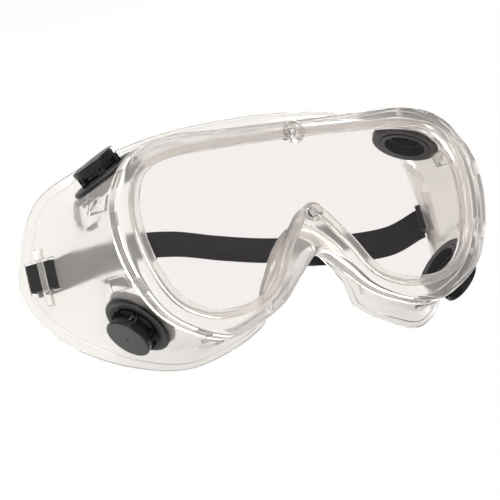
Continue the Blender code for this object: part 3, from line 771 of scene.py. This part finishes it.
def added_shapes():
    bm = bmesh.new()
    for place in (LUG, MIRROR @ LUG):
        bridge_section(bm, place)
    for point, length, half_width in GRIP_TABS:
        low = (-WALL / 2, TAB_START, -half_width * MM)
        high = (TAB_HEIGHT, TAB_START + length * MM, half_width * MM)
        block(bm, low, high, tab_place(point), 0.4 * MM)
    return finish_mesh(bm, "added_shapes", weld=0)


# %% [markdown]
# What is cut away is made as plain bars and boxes, each longer than the wall it goes through, so that
# no two faces lie in the same plane.

# %% Cut shapes
VENT_HOLE_RADIUS = 9.7 * MM
VENT_HOLE_ENDS = (-6 * MM, 5 * MM)
STUD_HOLE_RADIUS = 1.8 * MM
STUD_HOLE_ENDS = (-RIM_DEPTH, 6 * MM)
POCKETS = (  # outline point, length in millimetres
    (1.05, 5), (2.0, 16), (2.75, 5), (3.55, 7), (4.6, 5), (6.2, 6), (8.3, 6), (9.6, 8),
)
POCKET_DEPTH = 1.1 * MM
POCKET_ENDS = (-1.0 * MM, 3.4 * MM)
STUD_HEIGHTS = {"brow": OPENING_TOP + 1.5 * MM, "nose": OPENING_DROP * OPENING_SHAPE[-1][1] - 3.6 * MM}
FACING_FRONT = Matrix.Rotation(math.radians(90), 4, "X")


def stud_place(name):
    return Matrix.Translation((0, 0, STUD_HEIGHTS[name])) @ FACING_FRONT


def round_bar(bm, radius, ends, place, segments=48):
    low, high = ends
    made = bmesh.ops.create_cone(
        bm, cap_ends=True, segments=segments, radius1=radius, radius2=radius, depth=high - low
    )["verts"]
    bmesh.ops.translate(bm, vec=(0, 0, (low + high) / 2), verts=made)
    bmesh.ops.transform(bm, matrix=place, verts=made)


def pocket_place(point):
    """A pocket's frame on the rim's outer side: X out, Y to the back, Z along the rim."""
    index = round(point * STEPS)
    normal = outward(RIM)[index]
    turn = Matrix((normal, Vector((0, 1, 0)), normal.cross(Vector((0, 1, 0))))).transposed().to_4x4()
    return Matrix.Translation(RIM[index]) @ turn


def cut_shapes():
    bm = bmesh.new()
    for _, _, place in VENTS:
        round_bar(bm, VENT_HOLE_RADIUS, VENT_HOLE_ENDS, place)
    for name in STUD_HEIGHTS:
        round_bar(bm, STUD_HOLE_RADIUS, STUD_HOLE_ENDS, stud_place(name), 24)
    for point, length in POCKETS:
        low = (-POCKET_DEPTH, POCKET_ENDS[0], -length / 2 * MM)
        block(bm, low, (POCKET_DEPTH, POCKET_ENDS[1], length / 2 * MM), pocket_place(point))
    for begin in SLOTS:
        low = (begin, -2 * FLANGE, -SLOT_HALF_HEIGHT)
        block(bm, low, (begin + SLOT_WIDTH, 2 * FLANGE, SLOT_HALF_HEIGHT), LUG)
    return finish_mesh(bm, "cut_shapes", weld=0)


# %% [markdown]
# Joining and cutting are exact Boolean modifiers on a throwaway object, and only the mesh that comes
# out is kept. The finished mask is shaded smooth, with its large faces leading, and put in its place.

# %% Join, cut and place the mask


def boolean(mesh, other, operation):
    """The mesh joined to, or cut by, another one."""
    tool = bpy.data.objects.new("tool", other)
    bpy.context.scene.collection.objects.link(tool)
    values = {"object": tool, "operation": operation, "solver": "EXACT"}
    made = evaluated(mesh, ("BOOLEAN", values))
    bpy.data.objects.remove(tool)
    return made


def make_mask():
    mesh = boolean(SKIN, added_shapes(), "UNION")
    mesh = boolean(mesh, cut_shapes(), "DIFFERENCE")
    mesh = shade(mesh, 40)
    return add_piece("clear_mask", mesh, VINYL, "mask", ["mask_body"])


make_mask()

# %% [markdown]
# ## Hard clear lens
# The lens is flat polycarbonate, so it is a plate with a polished face and a slightly dull cut edge.
# It is filled from its outline, pulled to its thickness, and its edge gets a fine bevel. Its surface
# is given hairline scratches that catch the lamps. Its index of refraction is set well under the
# plastic's own 1.58, because at that value the flat lens mirrors the white room and veils the strap.

# %% Polycarbonate


def hard_clear():
    made, tree, shader = new_material("clear_polycarbonate")
    shader.inputs["Base Color"].default_value = (0.905, 0.877, 0.855, 1)
    shader.inputs["Transmission Weight"].default_value = 1
    shader.inputs["IOR"].default_value = 1.27
    stretch = tree.nodes.new("ShaderNodeMapping")
    stretch.inputs["Scale"].default_value = (1, 1, 14)
    tree.links.new(own_coordinates(tree), stretch.inputs["Vector"])
    scratches = noise(tree, stretch.outputs["Vector"], 60, distortion=2)
    vary_roughness(tree, scratches, 0.0, 0.08, 0.66, 0.74)
    return made


CLEAR = hard_clear()

# %% [markdown]
# The plate is as wide as the groove lets it be. It is cut by the same two bars as the mask, so the
# studs pass through both.

# %% The lens


def make_lens():
    bm = bmesh.new()
    verts = [bm.verts.new(point) for point in grown(OPENING, LENS_EDGE, -LENS_THICKNESS / 2)]
    face = bm.faces.new(verts)
    made = bmesh.ops.extrude_face_region(bm, geom=[face])["geom"]
    back = [item for item in made if isinstance(item, bmesh.types.BMVert)]
    bmesh.ops.translate(bm, vec=(0, LENS_THICKNESS, 0), verts=back)
    flat = [edge for edge in bm.edges if abs(edge.verts[0].co.y - edge.verts[1].co.y) < GAP]
    bmesh.ops.bevel(
        bm, geom=flat, offset=0.2 * MM, affect="EDGES", segments=2, profile=0.5, material=-1,
        clamp_overlap=True,
    )
    mesh = finish_mesh(bm, "lens_blank", weld=0)
    holes = bmesh.new()
    for name in STUD_HEIGHTS:
        round_bar(holes, STUD_HOLE_RADIUS, STUD_HOLE_ENDS, stud_place(name), 24)
    mesh = boolean(mesh, finish_mesh(holes, "lens_holes", weld=0), "DIFFERENCE")
    mesh = shade(mesh, 40)
    return add_piece("clear_lens", mesh, CLEAR, "mask", ["lens"])


make_lens()

# %% [markdown]
# ## Turned pieces
# Studs, vent bodies, rings and caps are all round, as turned or round-moulded things are. Stacked
# cylinders would need joining, so each is instead a half section spun once round its axis. A section
# is a list of radius and height in millimetres, with a rounding at each corner.

# %% Spinning a section
TURNS = 64


def spun(name, section, rounding=0.25, closed=True):
    bm = bmesh.new()
    verts = [bm.verts.new((radius * MM, 0, height * MM)) for radius, height in section]
    edges = [bm.edges.new(pair) for pair in zip(verts, verts[1:])]
    if closed:
        edges.append(bm.edges.new((verts[-1], verts[0])))
    corners = [vert for vert in verts if vert.co.x > 0.05 * MM and len(vert.link_edges) == 2]
    bmesh.ops.bevel(
        bm, geom=corners, offset=rounding * MM, affect="VERTICES", segments=2, profile=0.5,
        material=-1, clamp_overlap=True,
    )
    bmesh.ops.spin(
        bm, geom=list(bm.verts) + list(bm.edges), cent=(0, 0, 0), axis=(0, 0, 1), angle=math.tau,
        steps=TURNS, use_merge=True,
    )
    bmesh.ops.remove_doubles(bm, verts=bm.verts, dist=0.005 * MM)
    return finish_mesh(bm, name, weld=0)


# %% [markdown]
# Two clear buttons pin the rim to the lens, one over the nose on the brow and one at the nose arch.
# Each has a domed head with a dimple in it and a shank that goes through rim and
# lens. They are spun open at the axis, where their first and last points already lie.

# %% The two studs


def make_studs():
    for name, radius in (("brow", 4.2), ("nose", 3.6)):
        face = (LENS_THICKNESS / 2 + GAP + LIP_THICKNESS + GAP) / MM
        section = [
            (0, face + 1.15), (radius * 0.34, face + 1.15), (radius * 0.44, face + 1.5),
            (radius * 0.78, face + 1.4), (radius, face + 0.7), (radius, face), (1.5, face),
            (1.5, -3.5), (0, -3.5),
        ]
        mesh = spun(f"{name}_button", section, 0.3, closed=False)
        mesh = shade(mesh, 50)
        node = f"{name}_stud"
        add_piece(f"clear_{name}_stud", mesh, CLEAR, "mask", [node], stud_place(name))


make_studs()

# %% [markdown]
# ## Black vents
# A vent is a flanged tube through the wall, a ring that grips it from inside, and a cap that plugs
# into it. Air goes in at the cap's waist, between its ribs, and turns before it reaches the eyes, so
# a splash can't. The plastic is satin black: a fine grain in the bump, and roughness that varies.
# The steep sides of the real pieces look darker and shinier than their flat faces, from the dark
# surroundings they mirror. So the side faces get a second, smoother material whose darker base colour is
# painted shade.

# %% Black plastic


def black_plastic(name, dark, light, shine, smooth, dull):
    """Black plastic between two tones, with a specular level and a range of roughness."""
    made, tree, shader = new_material(name)
    shader.inputs["Specular IOR Level"].default_value = shine
    place = own_coordinates(tree)
    add_bump(tree, noise(tree, place, 900), dull * 0.4, 0.1 * MM)
    cloud = noise(tree, place, 120)
    vary_colour(tree, cloud, (dark, dark * 0.95, dark * 0.93), (light, light * 0.94, light * 0.92))
    vary_roughness(tree, cloud, smooth, dull)
    return made


BLACK = black_plastic("black_plastic", 0.018, 0.034, 0.45, 0.34, 0.5)
# The sides' finish: smoother, with a darker base colour that is painted shade from dark surroundings.
SMOOTH_PAINTED_SHADE = black_plastic("black_plastic_smooth_painted_shade", 0.004, 0.008, 0.25, 0.16, 0.28)


STEEP = 0.6  # the most that a side's normal leans along the axis


def paint_shade_on_sides(piece, axis):
    """Gives the steep sides of a turned piece the smoother finish, with painted shade in its darker base
    colour.
    """
    piece.data.materials.append(SMOOTH_PAINTED_SHADE)
    for face in piece.data.polygons:
        if abs(face.normal.dot(axis)) < STEEP:
            face.material_index = 1


# %% [markdown]
# The vent's body has a flange with a raised edge and a narrow seat for the cap, and a tube that goes
# through the wall. The ring snaps onto the tube from inside and holds the wall against the flange.

# %% Vent bodies and rings
FLANGE_TOP = 1.8
TUBE = 9.3
TUBE_BOTTOM = -3.9
BORE = 7.6
BODY_SECTION = [
    (12.5, 1.2), (12.5, 0.3), (TUBE, 0.3), (TUBE, TUBE_BOTTOM), (BORE, TUBE_BOTTOM), (BORE, 0.9),
    (8.95, 0.9), (9.15, 1.25), (9.4, 1.25), (9.55, 1.05), (10.6, FLANGE_TOP), (11.9, FLANGE_TOP),
]
RING_SECTION = [(12.5, -2.1), (12.5, -3.0), (11.9, -3.6), (9.6, -3.6), (9.6, -2.1)]


def make_vent_seats():
    for level, name, place in VENTS:
        key = f"{level}_{name}"
        for kind, section in (("body", BODY_SECTION), ("ring", RING_SECTION)):
            mesh = spun(f"vent_{kind}_{key}_mesh", section, 0.2)
            mesh = shade(mesh, 40)
            node = f"vent_{kind}_{key}"
            piece = add_piece(f"black_{node}", mesh, BLACK, "mask", [node], place)
            # The steep sides get the smoother finish with painted shade.
            paint_shade_on_sides(piece, place.col[2].to_3d())


make_vent_seats()

# %% [markdown]
# The cap is a plain drum with a closed top and a narrower waist. Six clips stand across the waist,
# each a pair of ribs with a crossbar, and air goes in at the low windows between them. The clips are
# joined to the drum and the windows cut from it. The crossbars are joined after the ribs, because a
# Boolean goes wrong when the shapes it adds already overlap each other.

# %% Vent caps
CAP_RADIUS = 8.5
CAP_SEAT = 1.2
CAP_TOP = 7.6
SHOULDER = CAP_TOP - 3.4
WAIST = 7.4
CAP_SECTION = [
    (0, CAP_TOP - 0.4), (0.5, CAP_TOP - 0.36), (0.8, CAP_TOP), (7.9, CAP_TOP),
    (8.35, CAP_TOP - 0.12), (CAP_RADIUS, CAP_TOP - 0.5), (8.2, SHOULDER), (WAIST, SHOULDER - 0.1),
    (WAIST, CAP_SEAT + 0.9), (8.3, CAP_SEAT + 0.75), (CAP_RADIUS, CAP_SEAT), (7.3, CAP_SEAT),
    (7.3, CAP_SEAT - 1.6), (6.1, CAP_SEAT - 1.6), (6.1, CAP_TOP - 1.4), (0, CAP_TOP - 1.4),
]
CLIPS = 6
CLIP_RIBS = ((-1.2, -0.65), (0.65, 1.2))
RIB_REACH = (6.85, 8.85)
CROSSBAR_REACH = (6.9, 8.7)
WINDOW_REACH = (4.5, 9.5)
WINDOW_HALF_WIDTH = 2.45


def boxes_round(spec, count, start=0.0):
    """The same boxes at even steps round the Z axis."""
    bm = bmesh.new()
    for low, high in spec:
        low, high = Vector(low) * MM, Vector(high) * MM
        for k in range(count):
            made = bmesh.ops.create_cube(bm, size=1)["verts"]
            bmesh.ops.scale(bm, vec=high - low, verts=made)
            bmesh.ops.translate(bm, vec=(low + high) / 2, verts=made)
            bmesh.ops.rotate(bm, matrix=Matrix.Rotation(math.tau * (k + start) / count, 3, "Z"), verts=made)
    return finish_mesh(bm, "boxes", weld=0)


def cap_mesh():
    mesh = spun("cap", CAP_SECTION, 0.12, closed=False)
    near, far = RIB_REACH
    ribs = [((near, low, CAP_SEAT + 0.4), (far, high, SHOULDER + 0.8)) for low, high in CLIP_RIBS]
    mesh = boolean(mesh, boxes_round(ribs, CLIPS), "UNION")
    near, far = CROSSBAR_REACH
    crossbars = [((near, -1, CAP_SEAT + 1.7), (far, 1, CAP_SEAT + 2.2))]
    mesh = boolean(mesh, boxes_round(crossbars, CLIPS), "UNION")
    (near, far), side = WINDOW_REACH, WINDOW_HALF_WIDTH
    windows = [((near, -side, CAP_SEAT + 1.1), (far, side, CAP_SEAT + 1.75))]
    mesh = boolean(mesh, boxes_round(windows, CLIPS, 0.5), "DIFFERENCE")
    print("cap", len(mesh.polygons), "faces")
    return shade(mesh, 35)


def make_caps():
    pattern = cap_mesh()
    for level, name, place in VENTS:
        key = f"{level}_{name}"
        mesh = pattern.copy()
        name = f"black_vent_cap_{key}"
        piece = add_piece(name, mesh, BLACK, f"cap_{key}", [f"vent_cap_{key}"], place)
        # The steep sides get the smoother finish with painted shade.
        paint_shade_on_sides(piece, place.col[2].to_3d())


make_caps()

# %% [markdown]
# ## Elastic strap
# The strap is elastic webbing, which is given fine lengthwise cords. A pattern on the object's own
# coordinates would not turn with the webbing, so the weave reads a UV map that runs along it. Two
# sets of waves, along and across, are multiplied into the weave's bump, colour and roughness.

# %% Webbing


def cords(tree, place, direction, scale):
    wave = tree.nodes.new("ShaderNodeTexWave")
    wave.bands_direction = direction
    wave.inputs["Scale"].default_value = scale
    wave.inputs["Distortion"].default_value = 0.4
    tree.links.new(place, wave.inputs["Vector"])
    return wave.outputs["Fac"]


def black_webbing():
    made, tree, shader = new_material("black_webbing")
    shader.inputs["Sheen Weight"].default_value = 0.12
    shader.inputs["Sheen Roughness"].default_value = 0.4
    shader.inputs["Specular IOR Level"].default_value = 0.3
    uv = tree.nodes.new("ShaderNodeUVMap")
    uv.uv_map = "along"
    crossed = tree.nodes.new("ShaderNodeMath")
    crossed.operation = "MULTIPLY"
    tree.links.new(cords(tree, uv.outputs["UV"], "X", 0.55), crossed.inputs[0])
    tree.links.new(cords(tree, uv.outputs["UV"], "Y", 0.28), crossed.inputs[1])
    weave = crossed.outputs["Value"]
    add_bump(tree, weave, 0.5, 0.15 * MM)
    vary_colour(tree, weave, (0.007, 0.0065, 0.006), (0.022, 0.020, 0.019))
    vary_roughness(tree, weave, 0.6, 0.85)
    return made


WEBBING = black_webbing()

# %% [markdown]
# The band lies slack behind the mask and sags to one side. Its route is a few stops, run through by a
# smooth curve, and its first and last stops meet the loops that wrap the lugs. The free ends are
# folded back along the band, a layer in front of it. The loops go round the lug's bar by two half
# turns, one through each slot.

# %% Strap routes
# Share of the mask's half width, and millimetres behind and above the line that the strap swings on.
STRAP_ROUTE = (
    (-0.92, 0.6, 0.2), (-0.8, 4.0, 2.0), (-0.62, 8.0, 5.6), (-0.41, 10.5, 8.2), (-0.2, 12.0, 7.4),
    (0, 12.6, 3.6), (0.2, 12.6, 0.2), (0.41, 12.0, -2.2), (0.62, 10.0, -4.0), (0.8, 5.6, -4.2),
    (0.92, 0.6, -0.8),
)
LUG_STOPS = ((-0.947, -1.1, 0), (0.947, -1.1, -0.4))
HALF_WIDTH = RIM_HALF_WIDTH + FLARE_SIDE
SWING = next(joint for joint in frame["joints"] if joint["name"] == "strap_swing")
PIVOT = Vector(SWING["pos_m"]) - CENTRE
TAIL_LENGTH = 60 * MM
TAIL_DROP = 1.8 * MM
TAIL_SKIP = 3  # points of the band that the lug leaves no room beside
LOOP_BULGE = 0.3 * MM
LOOP_STEPS = 12  # in a half turn


def open_curve(points, steps):
    ends = [points[0] * 2 - points[1]] + list(points) + [points[-1] * 2 - points[-2]]
    curve = []
    for before, start, end, after in zip(ends, ends[1:], ends[2:], ends[3:]):
        handles = start + (end - before) / 6, end - (after - start) / 6
        curve += interpolate_bezier(start, *handles, end, steps + 1)[:-1]
    return curve + [points[-1]]


def strap_route():
    stops = (LUG_STOPS[0], *STRAP_ROUTE, LUG_STOPS[1])
    points = [PIVOT + Vector((share * HALF_WIDTH, back * MM, up * MM)) for share, back, up in stops]
    return open_curve(points, 16)


def tail_route(route):
    """The way along the front of the band, for the tail's length."""
    path, length = [], 0
    for point, following in zip(route, route[1:]):
        along = (following - point).normalized()
        front = Vector((along.y, -along.x, 0)).normalized()
        if front.y > 0:
            front = -front
        path.append(point + front * (STRAP_THICKNESS + GAP) - Vector((0, 0, TAIL_DROP)))
        length += (following - point).length
        if length > TAIL_LENGTH:
            break
    return path[TAIL_SKIP:]


def loop_route():
    """The way through both slots and round the bar between them."""
    reach = (STRAP_INNER + STRAP_OUTER) / 2
    path = []
    for begin, first in ((SLOTS[1], -90), (SLOTS[0], 90)):
        for k in range(LOOP_STEPS + 1):
            angle = math.radians(first) + math.pi * k / LOOP_STEPS
            bulge = math.cos(angle) * LOOP_BULGE
            path.append(LUG @ Vector((begin + SLOT_WIDTH / 2 + bulge, reach * math.sin(angle), 0)))
    return path


# %% [markdown]
# Webbing has the same width everywhere, so each stretch is its lower edge pulled up in a few steps.
# Every point keeps how far along the ribbon it lies, which becomes the map that the weave follows.
# A Solidify gives it its thickness, half to each side, and a Bevel rounds its edges.

# %% Ribbons
ACROSS = 6


def first_row(bm, path, closed):
    """The ribbon's lower edge. Each point keeps how far along the ribbon it is."""
    along = bm.verts.layers.float.new("along")
    length = 0.0
    verts = []
    for k, point in enumerate(path):
        if k:
            length += (point - path[k - 1]).length
        verts.append(bm.verts.new(point - Vector((0, 0, STRAP_WIDTH / 2))))
        verts[-1][along] = length / MM
    edges = [bm.edges.new(pair) for pair in zip(verts, verts[1:])]
    if closed:
        edges.append(bm.edges.new((verts[-1], verts[0])))
    return edges


def add_along_map(bm):
    """A UV map in millimetres: along the ribbon, and up it."""
    along = bm.verts.layers.float["along"]
    uv = bm.loops.layers.uv.new("along")
    for face in bm.faces:
        for loop in face.loops:
            loop[uv].uv = (loop.vert[along], loop.vert.co.z / MM)


def ribbon_mesh(name, path, closed=False):
    """An upright ribbon along the path, as wide as the webbing."""
    bm = bmesh.new()
    row = first_row(bm, path, closed)
    for _ in range(ACROSS):
        made = bmesh.ops.extrude_edge_only(bm, edges=row)["geom"]
        fresh = [item for item in made if isinstance(item, bmesh.types.BMVert)]
        bmesh.ops.translate(bm, vec=(0, 0, STRAP_WIDTH / ACROSS), verts=fresh)
        picked = set(fresh)
        edges = [item for item in made if isinstance(item, bmesh.types.BMEdge)]
        row = [edge for edge in edges if set(edge.verts) <= picked]
    add_along_map(bm)
    return finish_mesh(bm, name, weld=0)


def thickened(mesh):
    """The ribbon with its thickness and rounded selvedges."""
    thickness = {"thickness": STRAP_THICKNESS, "offset": 0}
    selvedge = {
        "width": 0.35 * MM, "segments": 2, "limit_method": "ANGLE", "angle_limit": math.radians(60),
    }
    return shade(evaluated(mesh, ("SOLIDIFY", thickness), ("BEVEL", selvedge)), 60)


# %% [markdown]
# Webbing can't turn sharply where it leaves a lug. So the band and its tails don't ride on one body:
# they stay with the mask at the lugs and turn more and more with the strap over the next few
# millimetres. A tail lies in front of the band, so its bend starts that much further forward.

# %% Strap pieces
BEND_LENGTH = 8 * MM


def add_webbing(name, path, node, body=None, closed=False):
    mesh = thickened(ribbon_mesh(name, path, closed))
    return add_piece(name, mesh, WEBBING, body, [node])


def bend_at_lugs(piece, ahead=0.0):
    """The webbing is held at the lugs, and turns with the strap from a little behind them."""
    held = CENTRE + PIVOT + Vector((0, -ahead, 0))
    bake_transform(piece, "mask", "strap", start=tuple(held), end=tuple(held + Vector((0, BEND_LENGTH, 0))))


def make_strap():
    route = strap_route()
    bend_at_lugs(add_webbing("webbing_band", route, "strap_band"))
    for side_name, path in (("left", route), ("right", route[::-1])):
        tail = add_webbing(f"webbing_tail_{side_name}", tail_route(path), f"strap_tail_{side_name}")
        bend_at_lugs(tail, ahead=STRAP_THICKNESS + GAP)
    loop = loop_route()
    for side_name, side in SIDES:
        path = [Vector((point.x * side, point.y, point.z)) for point in loop]
        add_webbing(f"webbing_loop_{side_name}", path, f"strap_loop_{side_name}", "mask", closed=True)
    length = sum((b - a).length for a, b in zip(route, route[1:]))
    print("strap", round(length / MM), "mm between the lugs")


make_strap()
